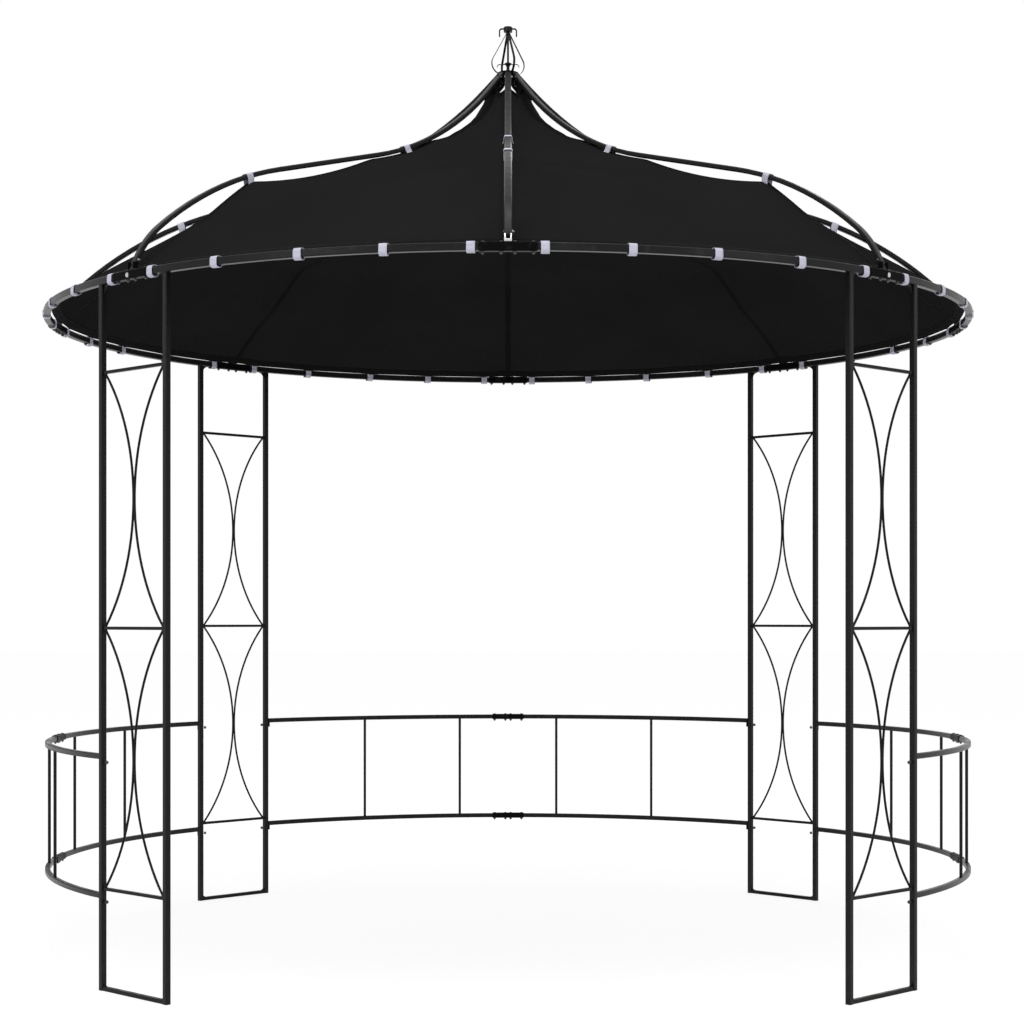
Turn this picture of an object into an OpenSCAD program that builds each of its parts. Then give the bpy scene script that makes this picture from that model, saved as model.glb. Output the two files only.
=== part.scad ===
// Round garden gazebo: four lattice pillars of two posts each carry a round roof ring. Eight ogee
// ribs rise from the ring to a hub with a finial, and a fabric canopy hangs under the ribs by straps.
// Three of the four bays have a balustrade. The origin is on the ground below the finial, the open
// bay faces -Y and +Z is up.

/* [Overall] */
// Radius of the roof ring, to the middle of its tube
ring_radius = 1487.5; // [1200:0.5:1800]
// Height of the middle of the roof ring's tube above the ground
eave_height = 2020; // [1900:1:2400]

/* [Roof ring] */
// Side of the ring's square tube
ring_tube = 21; // [18:1:28]
// Length of the sleeve over each joint of the ring
ring_sleeve_len = 152; // [100:1:170]
// Wall of the ring's sleeves
ring_sleeve_wall = 1.7; // [1:0.1:3]

/* [Pillars] */
// Distance between the middles of a pillar's two posts
pillar_width = 309; // [280:1:380]
// Side of a post's square tube
post_tube = 17; // [14:1:22]
// Height of the lattice's lower bar
low_bar_height = 290; // [220:1:340]
// Height of the lattice's middle bar
mid_bar_height = 1032; // [950:1:1120]
// Height of the lattice's upper bar
high_bar_height = 1759; // [1660:1:1820]
// Side of the lattice's square bars
lattice_bar = 9; // [7:0.5:12]
// Diameter of the lattice's bowed rods
lattice_rod = 7; // [5:0.5:9]
// Side of the bar between a pillar's feet
foot_bar = 12; // [9:1:16]

/* [Balustrade] */
// Distance from the posts' circle in to the middle of the rails
rail_inset = 2.5; // [0:0.5:5]
// Height of the middle of the top rail
top_rail_height = 666; // [560:1:800]
// Height of the middle of the bottom rail
bottom_rail_height = 269; // [180:1:320]
// Side of the rails' square tube
rail_tube = 16; // [13:1:20]
// Length of the sleeve over the joint in the middle of a rail
rail_sleeve_len = 125; // [80:1:160]
// Diameter of a baluster
baluster_diameter = 10; // [8:0.5:14]
// Angle between neighbouring balusters, seen from above
baluster_step = 15; // [13:0.5:17]

/* [Ribs] */
// Width of a rib's flat tube
rib_width = 21; // [16:1:26]
// Thickness of a rib's flat tube
rib_depth = 14.5; // [10:0.5:18]
// Slope of a rib where it leaves the ring
foot_slope = 72; // [66:0.5:80]
// Slope of a rib at the end of its tight foot bend
knee_slope = 40.5; // [34:0.5:46]
// Slope of a rib along its straight middle
mid_slope = 15.1; // [10:0.1:20]
// Slope of a rib at the hub
peak_slope = 47.5; // [42:0.5:52]
// Radius of a rib's foot bend
foot_bend = 300; // [260:5:380]
// Radius of a rib's wide shoulder bend
shoulder_bend = 1105; // [950:5:1250]

/* [Canopy] */
// Thickness of the canopy's cloth with its lining, as a closed shell
canopy_thickness = 3; // [2:0.5:6]
// Gap between the ring tube and the canopy's hem, along the ground
hem_gap = 4; // [3:0.5:16]
// Height of the canopy's hem above the middle of the ring tube
hem_rise = 10.5; // [8:0.5:24]
// Drop from a rib's middle line to the canopy's ridge at its outer strap
strap_drop = 15.5; // [13:0.5:26]
// Fall of the canopy's ridge between two straps below a straight line
ridge_sag = 18.5; // [0:0.5:30]
// Fall of a canopy panel's middle line below a straight line between two ridges
panel_sag = 15; // [0:1:30]
// Width of a strap
strap_width = 25; // [18:1:30]
// Thickness of a strap
strap_thickness = 1.5; // [1:0.1:2.5]

/* [Finial] */
// Widest radius of the finial's cage
cage_radius = 57; // [48:1:66]
// Height of the finial above the hub's top
finial_height = 149; // [140:1:170]
// Turn of the finial about its axis
finial_turn = 21; // [0:1:45]

/* [Hidden] */
$fn = 48;
sides = 8;
sector = 360 / sides;
seat = 0.3;
ring_fn = 256;

pillar_names = ["back_right", "back_left", "front_left", "front_right"];
bay_names = ["right", "back", "left"];

// Colours
steel_color = "#2b2b2d";
cloth_color = "#202021";
strap_color = "#e2e2ee";

// Pillars: the posts' middles lie on the ring's circle
post_radius = ring_radius;
post_height = eave_height - ring_tube / 2 - seat;
post_half_angle = asin(pillar_width / 2 / post_radius);
pillar_distance = post_radius * cos(post_half_angle);
panel_half = pillar_width / 2 - post_tube / 2 - seat;
post_gusset = 24;
foot_gusset = 12;
gusset_thickness = 4;
rod_overlap = 1.5;

// Rails: tabs on their ends lie against the posts
rail_radius = post_radius - rail_inset;
tab_thickness = 3;
tab_drop = 16;
rail_half_gap = 0.5;
rail_end_inset = pillar_width / 2 + post_tube / 2 + seat + tab_thickness / 2;
rail_end_angle = sector - asin(rail_end_inset / rail_radius);
rail_sleeve_wall = 2;

// Ring: segments meet inside the sleeves
ring_half_gap = 0.5;
ring_sleeve_tube = ring_tube + 2 * seat + 2 * ring_sleeve_wall;
sleeve_top = eave_height + ring_sleeve_tube / 2;
ear_thickness = 2;
ear_height = 24;
ear_length = 16;

// Ribs: foot bend, shoulder bend, straight middle, reverse bend and straight peak
bend_step = 2.5;
hub_reach = 30;
hub_straight = 69.3;
reverse_bend = 1040;
rib_corner = 3;

// A bend of a rib, as [distance from the axis, height, slope], from one slope to another
function bend(from, radius, a, b, turn) =
    let (steps = max(2, ceil(abs(a - b) / bend_step)))
    [for (i = [1:steps])
        let (s = a + (b - a) * i / steps)
        [
            from[0] - radius * turn * (sin(a) - sin(s)),
            from[1] + radius * turn * (cos(s) - cos(a)),
            s
        ]
    ];

function last(list) = list[len(list) - 1];

rib_foot_drop = sleeve_top + seat - eave_height;
rib_start = [ring_radius - rib_foot_drop / tan(foot_slope), sleeve_top + seat, foot_slope];
foot_points = bend(rib_start, foot_bend, foot_slope, knee_slope, 1);
shoulder_points = bend(last(foot_points), shoulder_bend, knee_slope, mid_slope, 1);
reverse_run = reverse_bend * (sin(peak_slope) - sin(mid_slope));
peak_start = hub_reach + hub_straight * cos(peak_slope);
mid_end_distance = peak_start + reverse_run;
mid_run = last(shoulder_points)[0] - mid_end_distance;
mid_end = [mid_end_distance, last(shoulder_points)[1] + mid_run * tan(mid_slope), mid_slope];
reverse_points = bend(mid_end, reverse_bend, mid_slope, peak_slope, -1);
rib_end = [hub_reach, last(reverse_points)[1] + hub_straight * sin(peak_slope), peak_slope];
rib_path = concat([rib_start], foot_points, shoulder_points, [mid_end], reverse_points, [rib_end]);

// The rib's middle line at a distance from the axis, as [distance, height, slope]
function rib_at(distance) =
    let (i = [for (k = [0:len(rib_path) - 2])
        if (rib_path[k][0] >= distance && rib_path[k + 1][0] <= distance) k][0])
    let (a = rib_path[i], b = rib_path[i + 1], t = (a[0] - distance) / (a[0] - b[0]))
    [distance, a[1] + t * (b[1] - a[1]), a[2] + t * (b[2] - a[2])];

// A point under the rib's middle line, square to it
function under_rib(distance, drop) =
    let (p = rib_at(distance))
    [p[0] - drop * sin(p[2]), p[1] - drop * cos(p[2])];

// Hub: the ribs' ends lie against its cone, and a rim and a crown lie over them
hub_cone_half = rib_depth / 2 + 1;
hub_seat = [rib_end[0] - seat * cos(peak_slope), rib_end[1] + seat * sin(peak_slope)];
hub_cone_low = hub_seat - hub_cone_half * [sin(peak_slope), cos(peak_slope)];
hub_cone_high = hub_seat + hub_cone_half * [sin(peak_slope), cos(peak_slope)];
hub_rim = 0.5;
hub_crown_rise = 5.5;
hub_top = hub_cone_high[1] + hub_rim + hub_crown_rise;
hub_bottom = rib_end[1] - 24;
hub_disc_radius = 22;
hub_crown_radius = 22;

// Play of a strap on its rib, above the canopy's ridge and beside the canopy's hem
strap_play = 0.9;
strap_ease = 1.3;
strap_tail_gap = 0.6;
strap_tail_inset = 1;

// Canopy: ridge lines under the ribs, from the hem to the peak
strap_outer_inset = 408.5;
strap_outer_distance = ring_radius - strap_outer_inset;
strap_inner_distance = 458;
outer_touch_distance = 604;
inner_touch_distance = 341;
touch_gap = 2.5;
hem_point = [ring_radius - ring_tube / 2 - hem_gap, eave_height + hem_rise];
flank_point = [hem_point[0] - 230, hem_point[1] + 174];
shoulder_point = under_rib(strap_outer_distance, strap_drop);
touch_drop = rib_depth / 2 + touch_gap;
strap_inner_drop = rib_depth / 2 + strap_play + 2 * seat + strap_thickness + strap_ease;
outer_touch_point = under_rib(outer_touch_distance, touch_drop);
waist_point = under_rib(strap_inner_distance, strap_inner_drop);
inner_touch_point = under_rib(inner_touch_distance, touch_drop);
throat_distance = 177;
throat_drop = 40;
throat_point = [throat_distance, rib_at(throat_distance)[1] - throat_drop];
crown_point = [45, hub_bottom - 21];
ridge_anchors = [
    hem_point, flank_point, shoulder_point, outer_touch_point, waist_point,
    inner_touch_point, throat_point, crown_point
];
ridge_sags = [-13, -4, ridge_sag, 2.5, 2.5, 12, 26];
ridge_steps = [4, 2, 4, 2, 2, 3, 4];
crown_dip = 34;
crown_spread = 45;

// Straps: five hold the hem in each sector of the ring, and two hold the canopy under each rib
strap_post_room = 7.5;
first_strap_offset = ring_sleeve_len / 2 + strap_width / 2 + strap_post_room;
first_strap_angle = asin(first_strap_offset / ring_radius);
// Share of the way from the first strap to the last one of a sector, from the joint over a bay
strap_shares = [0, 0.235, 0.48, 0.75, 1];
strap_angles = [for (s = strap_shares) first_strap_angle + s * (sector - 2 * first_strap_angle)];
// Even sectors start at a joint over a bay, and odd ones end at it
function sector_straps(k) = k % 2 == 0
    ? strap_angles
    : [for (i = [len(strap_angles) - 1:-1:0]) sector - strap_angles[i]];

// Finial
cage_strip_width = 7.5;
cage_strip_thickness = 1.5;
cage_bend = 35;
cage_lean = 29.2;
cage_inner_bend = cage_bend - cage_strip_thickness / 2;
cage_foot_turn = -acos((hub_cone_high[0] - cage_radius + cage_bend) / cage_inner_bend);
cage_widest = seat - hub_crown_rise - cage_inner_bend * sin(cage_foot_turn);
cap_height = 17;
cap_radius = 14.5;
cage_collar = 6;
spindle_radius = 3.4;
knob_height = 33;
knob_radius = 12.4;
arm_width = 4;
arm_bend = 8;
knob_arm_thickness = 2;
cap_arm_thickness = 4.5;

// Square or flat bar with rounded corners, seen on its end
module rounded_bar(w, h, r) {
    square([w - 2 * r, h], center = true);
    square([w, h - 2 * r], center = true);
    for (sx = [-1, 1], sy = [-1, 1])
        translate([sx * (w / 2 - r), sy * (h / 2 - r)])
            circle(r);
}

// Tube bent to a circle about the axis, from angle a to angle b
module bent_tube(radius, a, b, side, corner) {
    rotate([0, 0, a])
        rotate_extrude(angle = b - a, $fn = ring_fn)
            translate([radius, 0])
                rounded_bar(side, side, corner, $fn = 24);
}

// Sleeve over a joint of a bent tube, centred on the +X axis
module bent_sleeve(radius, side, wall, length) {
    half = asin(length / 2 / radius);
    bore = side + 2 * seat;
    rotate([0, 0, -half])
        rotate_extrude(angle = 2 * half, $fn = ring_fn)
            translate([radius, 0])
                difference() {
                    rounded_bar(bore + 2 * wall, bore + 2 * wall, 4, $fn = 24);
                    square(bore, center = true);
                }
}

// Plate with a hollow round edge that stiffens a corner, from its corner along +X and -Z
module gusset(size) {
    rotate([90, 0, 0])
        linear_extrude(gusset_thickness, center = true)
            difference() {
                translate([-1, -size])
                    square([size + 1, size]);
                translate([size, -size])
                    circle(size - 1.5);
            }
}

// Post of a pillar: side is -1 or 1 along the pillar, in the pillar's own frame
module pillar_post(side) {
    inner_face = side * (pillar_width / 2 - post_tube / 2);
    translate([pillar_distance, side * pillar_width / 2, 0])
        linear_extrude(post_height)
            rounded_bar(post_tube, post_tube, 2.5, $fn = 24);
    translate([pillar_distance, inner_face, post_height - seat])
        rotate([0, 0, -side * 90])
            gusset(post_gusset);
    translate([pillar_distance, inner_face, foot_bar + seat])
        rotate([0, 0, -side * 90])
            mirror([0, 0, 1])
                gusset(foot_gusset);
}

module post(index, outer) {
    pillar_angle = 45 + 90 * index;
    even = index % 2 == 0;
    side = (outer == even) ? -1 : 1;
    color(steel_color)
        rotate([0, 0, pillar_angle])
            pillar_post(side);
}

// Two bowed rods between two bars, their bellies meeting in the middle
module bowed_pair(low, high) {
    rise = (high - low) / 2;
    end = panel_half - lattice_rod / 2;
    belly = lattice_rod / 2 - rod_overlap / 2;
    sagitta = end - belly;
    radius = (rise * rise + sagitta * sagitta) / (2 * sagitta);
    half = asin(rise / radius);
    for (m = [0, 1])
        mirror([0, m, 0])
            translate([0, belly + radius, (low + high) / 2])
                rotate([0, -90, 0])
                    rotate([0, 0, -90 - half])
                        rotate_extrude(angle = 2 * half, $fn = 128)
                            translate([radius, 0])
                                circle(lattice_rod / 2, $fn = 24);
}

module lattice_cross_bar(height, side) {
    translate([-side / 2, -panel_half, height - side / 2])
        cube([side, 2 * panel_half, side]);
}

module lattice(index) {
    color(steel_color)
        rotate([0, 0, 45 + 90 * index])
            translate([pillar_distance, 0, 0]) {
                lattice_cross_bar(foot_bar / 2, foot_bar);
                lattice_cross_bar(low_bar_height, lattice_bar);
                lattice_cross_bar(mid_bar_height, lattice_bar);
                lattice_cross_bar(high_bar_height, lattice_bar);
                bowed_pair(low_bar_height, mid_bar_height);
                bowed_pair(mid_bar_height, high_bar_height);
            }
}

module ring_segment(k) {
    gap = asin(ring_half_gap / ring_radius);
    color(steel_color)
        translate([0, 0, eave_height])
            bent_tube(ring_radius, (k - 1) * sector + gap, k * sector - gap, ring_tube, 3);
}

// Two ears on a sleeve that hold a rib's foot between them
module rib_ears() {
    for (m = [0, 1])
        mirror([0, m, 0])
            translate([rib_start[0] - ear_length / 2, rib_width / 2 + seat, sleeve_top - 1])
                cube([ear_length, ear_thickness, ear_height]);
}

module ring_sleeves() {
    color(steel_color)
        for (k = [0:sides - 1])
            rotate([0, 0, k * sector]) {
                translate([0, 0, eave_height])
                    bent_sleeve(ring_radius, ring_tube, ring_sleeve_wall, ring_sleeve_len);
                rib_ears();
            }
}

// One half of a rail, from the middle of its bay to the post, with the tab on its end
module half_rail(height) {
    gap = asin(rail_half_gap / rail_radius);
    tab_distance = sqrt(pow(rail_radius, 2) - pow(rail_end_inset, 2));
    tab_face = pillar_width / 2 + post_tube / 2 + seat;
    translate([0, 0, height])
        bent_tube(rail_radius, gap, rail_end_angle, rail_tube, 2.5);
    rotate([0, 0, sector])
        translate([
            tab_distance - rail_tube / 2,
            -tab_face - tab_thickness,
            height - rail_tube / 2 - tab_drop
        ])
            cube([rail_tube, tab_thickness, rail_tube + tab_drop]);
}

module rail(bay, height) {
    color(steel_color)
        rotate([0, 0, 90 * bay])
            for (m = [0, 1])
                mirror([0, m, 0])
                    half_rail(height);
}

module balusters(bay) {
    low = bottom_rail_height + rail_tube / 2 + seat;
    high = top_rail_height - rail_tube / 2 - seat;
    color(steel_color)
        for (i = [-1.5:1:1.5])
            rotate([0, 0, 90 * bay + i * baluster_step])
                translate([rail_radius, 0, low])
                    cylinder(d = baluster_diameter, h = high - low, $fn = 32);
}

module rail_sleeves() {
    color(steel_color)
        for (bay = [0:2], height = [top_rail_height, bottom_rail_height])
            rotate([0, 0, 90 * bay])
                translate([0, 0, height])
                    bent_sleeve(rail_radius, rail_tube, rail_sleeve_wall, rail_sleeve_len);
}

// Corners of a rib's section, as [across, square to the rib]
rib_section = let (w = rib_width / 2, d = rib_depth / 2, c = rib_corner)
    [
        [w, -d + c], [w, d - c], [w - c, d], [-w + c, d],
        [-w, d - c], [-w, -d + c], [-w + c, -d], [w - c, -d]
    ];

function rib_ring(p, level) = [for (c = rib_section)
    level
        ? [p[0] + c[1] / sin(p[2]), c[0], p[1]]
        : [p[0] + c[1] * sin(p[2]), c[0], p[1] + c[1] * cos(p[2])]
];

// A closed solid through rings of points, each ring with n points, from the first ring to the last
module skinned(rings) {
    n = len(rings[0]);
    m = len(rings);
    polyhedron(
        points = [for (ring = rings) each ring],
        faces = concat(
            [[for (i = [0:n - 1]) n - 1 - i]],
            [for (r = [0:m - 2], i = [0:n - 1])
                let (a = r * n + i, b = r * n + (i + 1) % n)
                each [[a, b, b + n], [a, b + n, a + n]]],
            [[for (i = [0:n - 1]) (m - 1) * n + i]]
        ),
        convexity = 6
    );
}

module rib(k) {
    color(steel_color)
        rotate([0, 0, (k - 1) * sector])
            skinned([for (i = [0:len(rib_path) - 1]) rib_ring(rib_path[i], i == 0)]);
}

module hub() {
    crown = [for (a = [0:15:90])
        [
            hub_crown_radius + (hub_cone_high[0] - hub_crown_radius) * cos(a),
            hub_top - hub_crown_rise * (1 - sin(a))
        ]
    ];
    color(steel_color)
        rotate_extrude($fn = 96)
            polygon(concat(
                [
                    [0, hub_bottom],
                    [hub_disc_radius, hub_bottom],
                    [hub_disc_radius + 1, hub_bottom + 4],
                    hub_cone_low - [3, 4],
                    hub_cone_low,
                    hub_cone_high
                ],
                crown,
                [[0, hub_top]]
            ));
}

// Middle line of a cage strip, as [distance, height above the hub's top, lean]
cage_centre = [cage_radius - cage_bend, cage_widest];
cage_points = [for (a = [cage_foot_turn:8:cage_lean], b = [min(a, cage_lean)])
    [cage_centre[0] + cage_bend * cos(b), cage_centre[1] + cage_bend * sin(b), b]
];
cage_knee = [
    cage_centre[0] + cage_bend * cos(cage_lean),
    cage_centre[1] + cage_bend * sin(cage_lean),
    cage_lean
];
cage_top_height = finial_height - cap_height - seat;
cage_top = [
    cage_knee[0] - (cage_top_height - 3 - cage_knee[1]) * tan(cage_lean),
    cage_top_height - 3,
    cage_lean
];
cage_line = concat(cage_points, [cage_knee, cage_top]);

function beside(p, d) = [p[0] + d * cos(p[2]), p[1] + d * sin(p[2])];

module cage_strip() {
    half = cage_strip_thickness / 2;
    outside = [for (p = cage_line) beside(p, half)];
    inside = [for (i = [len(cage_line) - 1:-1:0]) beside(cage_line[i], -half)];
    rotate([90, 0, 0])
        linear_extrude(cage_strip_width, center = true)
            polygon(concat(outside, inside));
}

module finial_cage() {
    color(steel_color)
        translate([0, 0, hub_top])
            rotate([0, 0, finial_turn])
                difference() {
                    union() {
                        for (k = [0:3])
                            rotate([0, 0, 90 * k])
                                cage_strip();
                        translate([0, 0, cage_top_height - 8])
                            cylinder(r = cage_collar, h = 8);
                    }
                    translate([0, 0, cage_top_height - 40])
                        cylinder(r = spindle_radius + seat, h = 50);
                }
}

// Small bent arm that reaches out to a distance and turns down
module bent_arm(from, reach, drop, thickness) {
    half = thickness / 2;
    rotate([90, 0, 0])
        linear_extrude(arm_width, center = true) {
            translate([from, -half])
                square([reach - arm_bend - from, thickness]);
            translate([reach - arm_bend, -arm_bend])
                intersection() {
                    difference() {
                        circle(arm_bend + half);
                        circle(arm_bend - half);
                    }
                    square(arm_bend + half);
                }
            translate([reach - half, -drop])
                square([thickness, drop - arm_bend]);
        }
}

module finial_spindle() {
    color(steel_color)
        translate([0, 0, hub_top + seat]) {
            rotate_extrude($fn = 64)
                polygon([
                    [0, 0],
                    [10, 0],
                    [8, 3],
                    [5.5, 8],
                    [5, 15],
                    [6.5, 20],
                    [9, 23.5],
                    [knob_radius, 25],
                    [knob_radius, 28],
                    [knob_radius - 4, 30],
                    [spindle_radius, knob_height],
                    [spindle_radius, finial_height - cap_height - 2 * seat],
                    [0, finial_height - cap_height - 2 * seat]
                ]);
            for (m = [0, 1])
                mirror([m, 0, 0])
                    translate([0, 0, 25])
                        bent_arm(knob_radius - 5, 36, 10, knob_arm_thickness);
        }
}

module finial_cap() {
    cap_base = finial_height - cap_height;
    color(steel_color)
        translate([0, 0, hub_top + cap_base]) {
            rotate_extrude($fn = 64)
                polygon([
                    [0, 0],
                    [cap_radius - 1, 0],
                    [cap_radius, 1],
                    [cap_radius, cap_height - 1.5],
                    [cap_radius - 1.5, cap_height],
                    [0, cap_height]
                ]);
            for (m = [0, 1])
                mirror([m, 0, 0])
                    translate([0, 0, cap_height - 6])
                        bent_arm(cap_radius - 2, 28, 26, cap_arm_thickness);
        }
}

// The canopy's ridge, as [distance, height, share of the way from the hem to the peak]
ridge = concat(
    [for (k = [0:len(ridge_anchors) - 2], i = [0:ridge_steps[k] - 1])
        let (t = i / ridge_steps[k], a = ridge_anchors[k], b = ridge_anchors[k + 1])
        [a[0] + t * (b[0] - a[0]), a[1] + t * (b[1] - a[1]) - 4 * ridge_sags[k] * t * (1 - t), k + t]
    ],
    [[crown_point[0], crown_point[1], len(ridge_anchors) - 1]]
);

// How far the cloth has gone over from the round hem to flat panels between the ribs
function flatness(s) = min(1, s / 1.6);
// How much of the crown's dip between two ribs a row has
function crowning(s) = max(0, s - (len(ridge_anchors) - 2));

// One point of the canopy between two ribs: a is the angle past the first rib
function cloth_point(row, a) =
    let (
        across = 4 * a / sector * (1 - a / sector),
        chord = cos(sector / 2) / cos(sector / 2 - a),
        round_share = 1 - flatness(row[2]),
        fade = min(1, row[2]) * (1 - crowning(row[2])),
        distance = row[0] * (round_share + (1 - round_share) * chord) +
            crown_spread * crowning(row[2]) * across,
        height = row[1] - panel_sag * fade * across - crown_dip * crowning(row[2]) * across
    )
    [distance, height];

function cloth_row(row) = [for (k = [0:sides - 1], a = concat([0], sector_straps(k)))
    let (p = cloth_point(row, a), w = k * sector + a)
    [p[0] * cos(w), p[0] * sin(w), p[1]]
];

// The ridge moved square to itself into the room below, for the cloth's lower face
function lowered(row, i) =
    let (
        before = ridge[max(i - 1, 0)],
        after = ridge[min(i + 1, len(ridge) - 1)],
        run = [after[0] - before[0], after[1] - before[1]],
        size = norm(run)
    )
    [
        row[0] - canopy_thickness * run[1] / size,
        row[1] + canopy_thickness * run[0] / size,
        row[2]
    ];

module canopy() {
    upper = [for (row = ridge) cloth_row(row)];
    lower = [for (i = [0:len(ridge) - 1]) cloth_row(lowered(ridge[i], i))];
    rows = concat(upper, [for (i = [len(ridge) - 1:-1:0]) lower[i]]);
    n = len(rows[0]);
    m = len(rows);
    color(cloth_color)
        polyhedron(
            points = [for (row = rows) each row],
            faces = [for (r = [0:m - 1], i = [0:n - 1])
                let (
                    next = (i + 1) % n,
                    a = r * n + i,
                    b = r * n + next,
                    c = (r + 1) % m * n + next,
                    d = (r + 1) % m * n + i
                )
                each [[a, c, b], [a, d, c]]],
            convexity = 8
        );
}

// Strap round the ring tube, with a tail to the canopy's hem, in the +X half plane
module ring_strap() {
    bore = ring_tube + 2 * seat;
    outer = bore + 2 * strap_thickness;
    hem = [hem_point[0] - ring_radius, hem_point[1] - eave_height];
    tail = [hem[0] + seat + strap_tail_gap, hem[1] + strap_tail_inset];
    rotate([90, 0, 0])
        linear_extrude(strap_width, center = true)
            translate([ring_radius, eave_height]) {
                difference() {
                    square(outer, center = true);
                    square(bore, center = true);
                }
                polygon([
                    [-outer / 2, outer / 2 - 2],
                    [-outer / 2 + 2, outer / 2],
                    tail + [0, 1],
                    tail + [0, -1]
                ]);
            }
}

// Strap round a rib with its loop down to the canopy's ridge, in the +X half plane
module rib_strap(distance, drop) {
    p = rib_at(distance);
    side = rib_width + 2 * seat;
    over = rib_depth / 2 + seat;
    under = drop - seat - strap_thickness - strap_ease;
    translate([p[0], 0, p[1]])
        rotate([0, 90 + p[2], 0])
            rotate([0, 0, 90])
                linear_extrude(strap_width, center = true)
                    difference() {
                        translate([-side / 2 - strap_thickness, -under - strap_thickness])
                            square([
                                side + 2 * strap_thickness,
                                under + over + 2 * strap_thickness
                            ]);
                        translate([-side / 2, -under])
                            square([side, under + over]);
                    }
}

module canopy_straps() {
    color(strap_color)
        for (k = [0:sides - 1])
            rotate([0, 0, k * sector]) {
                for (a = sector_straps(k))
                    rotate([0, 0, a])
                        ring_strap();
                rib_strap(strap_outer_distance, strap_drop);
                rib_strap(strap_inner_distance, strap_inner_drop);
            }
}

for (i = [0:3]) {
    name = pillar_names[i];
    post(i, true);
    post(i, false);
    lattice(i);
}
for (k = [1:sides]) {
    ring_segment(k);
    rib(k);
}
ring_sleeves();
for (bay = [0:2]) {
    name = bay_names[bay];
    rail(bay, top_rail_height);
    rail(bay, bottom_rail_height);
    balusters(bay);
}
rail_sleeves();
hub();
finial_cage();
finial_spindle();
finial_cap();
canopy();
canopy_straps();
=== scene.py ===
"""Round garden gazebo: coated steel, a hung cloth canopy, white webbing straps and zinc fixings."""

from math import asin, atan2, cos, hypot, pi, radians, sin, tan

import bmesh
import bpy
import numpy as np
from mathutils import Matrix, Vector
from mathutils.bvhtree import BVHTree


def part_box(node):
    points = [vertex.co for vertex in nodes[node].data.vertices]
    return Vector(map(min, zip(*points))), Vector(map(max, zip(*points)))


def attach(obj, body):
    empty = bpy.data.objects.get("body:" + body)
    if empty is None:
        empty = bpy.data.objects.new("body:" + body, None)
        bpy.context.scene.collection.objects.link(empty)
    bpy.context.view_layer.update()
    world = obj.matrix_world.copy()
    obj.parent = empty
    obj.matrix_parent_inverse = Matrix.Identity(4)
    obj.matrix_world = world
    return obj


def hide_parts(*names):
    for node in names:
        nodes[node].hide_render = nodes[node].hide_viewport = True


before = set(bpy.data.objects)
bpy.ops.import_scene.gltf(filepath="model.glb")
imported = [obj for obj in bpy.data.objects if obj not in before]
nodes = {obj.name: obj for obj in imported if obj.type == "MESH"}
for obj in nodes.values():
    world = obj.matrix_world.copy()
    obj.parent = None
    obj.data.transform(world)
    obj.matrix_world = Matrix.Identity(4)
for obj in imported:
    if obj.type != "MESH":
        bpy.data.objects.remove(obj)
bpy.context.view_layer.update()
MM = 0.001
SIDES = 8
SECTOR = 2 * pi / SIDES

# ---------------------------------------------------------------- sizes taken from the frame

ring_low, ring_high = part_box("ring_segment_1")
ring_tube = ring_high[2] - ring_low[2]
ring_radius = ring_high[0] - ring_tube / 2
eave = (ring_high[2] + ring_low[2]) / 2
sleeve_tube = 2 * (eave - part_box("ring_sleeves")[0][2])
rib_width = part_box("rib_1")[1][1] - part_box("rib_1")[0][1]
hub_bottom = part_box("hub")[0][2]

sleeve_length = 152 * MM
strap_room = 25 * MM
webbing_width = 22.5 * MM
webbing_thickness = 1.5 * MM
cloth_thickness = 1.0 * MM
tab_webbing_thickness = 1.2 * MM


def shown_solid(name):
    """A node's surface for measuring by a ray."""
    return BVHTree.FromObject(nodes[name], bpy.context.evaluated_depsgraph_get())


rib_surface = shown_solid("rib_1")


def rib_at(distance):
    """Middle line of a rib: its height, its slope and its depth at a distance from the axis."""
    tops = []
    bottoms = []
    for step in (-4 * MM, 4 * MM):
        x = distance + step
        tops.append(rib_surface.ray_cast(Vector((x, 0, 5)), Vector((0, 0, -1)))[0].z)
        bottoms.append(rib_surface.ray_cast(Vector((x, 0, 0)), Vector((0, 0, 1)))[0].z)
    height = (sum(tops) + sum(bottoms)) / 4
    fall = (sum(tops[:1]) + sum(bottoms[:1]) - tops[1] - bottoms[1]) / 2
    slope = atan2(fall, 8 * MM)
    depth = (sum(tops) - sum(bottoms)) / 2 * cos(slope)
    return height, slope, depth


def under_rib(distance, drop):
    """A point below a rib's middle line, square to it."""
    height, slope, _ = rib_at(distance)
    return distance - drop * sin(slope), height - drop * cos(slope)


# ---------------------------------------------------------------- shape of the hung canopy

outer_strap_distance = ring_radius - 408.5 * MM
inner_strap_distance = 458 * MM
rib_depth = rib_at(inner_strap_distance)[2]
outer_strap_drop = 15.5 * MM
inner_strap_drop = rib_depth / 2 + 4.3 * MM
touch_drop = rib_depth / 2 + 2.5 * MM
outer_touch_distance = 604 * MM
inner_touch_distance = 341 * MM
throat_distance = 177 * MM
throat_drop = 40 * MM
crown_corner = (45 * MM, hub_bottom - 21 * MM)
panel_sag = 15 * MM
crown_dip = 34 * MM
crown_spread = 39 * MM
ridge_lift = 2.5 * MM
ridge_lift_reach = 75 * MM
ridge_reach = 110 * MM
hem_reach = 70 * MM
scallop_depth = 2.5 * MM
scallop_rise = 1.6 * MM
fold_height = 1.1 * MM
fold_pitch = 34 * MM
fold_spread = 45 * MM
fold_length = 100 * MM
fold_start = 15 * MM
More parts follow.
